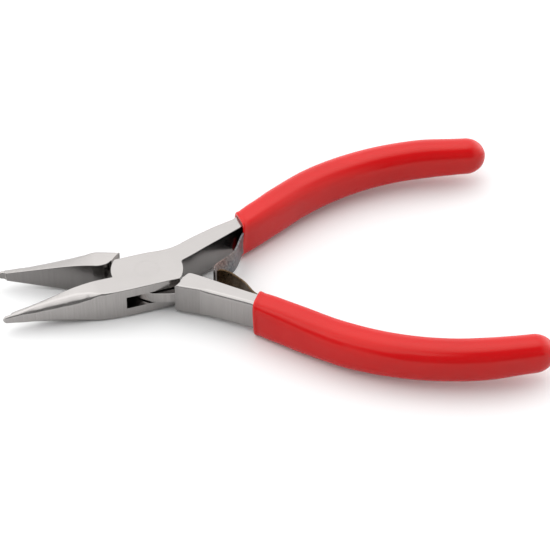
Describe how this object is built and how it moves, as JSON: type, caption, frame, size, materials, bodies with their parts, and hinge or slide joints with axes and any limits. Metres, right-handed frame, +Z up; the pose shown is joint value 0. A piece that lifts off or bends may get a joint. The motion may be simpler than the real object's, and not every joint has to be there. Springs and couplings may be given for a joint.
{
  "type": "chain nose pliers",
  "caption": "Slim box-joint jewellery pliers with flat-faced tapering jaws, leaf springs that hold them open, and dipped red vinyl handles.",
  "frame": {"origin": "centre of the open pliers' bounding box, at its base, on the surface they lie on", "axes": "+X from the jaws to the handles, +Y from the tongue half's handle to the box half's handle, +Z up, along the pivot"},
  "size_m": [0.1138, 0.0772, 0.0092],
  "materials": {
    "satin_steel": "satin ground",
    "spring_steel": "rolled and tempered, straw brown",
    "red_vinyl": "glossy dipped soft vinyl"
  },
  "bodies": {
    "box_side": {"box_half": "satin_steel", "pivot_rivet": "satin_steel", "hooked_leaf_spring": "spring_steel", "hooked_leaf_rivet": "spring_steel", "box_half_grip": "red_vinyl"},
    "tongue_side": {"tongue_half": "satin_steel", "plain_leaf_spring": "spring_steel", "plain_leaf_rivet": "spring_steel", "tongue_half_grip": "red_vinyl"}
  },
  "joints": [
    {"name": "pivot", "type": "hinge", "parent": "box_side", "child": "tongue_side", "pos_m": [-0.02498, 0, 0.0046], "axis": [0, 0, 1], "range_deg": [-8, 24], "stiffness_Nm_per_rad": 1, "deforming": ["hooked_leaf_spring", "plain_leaf_spring"]}
  ]
}
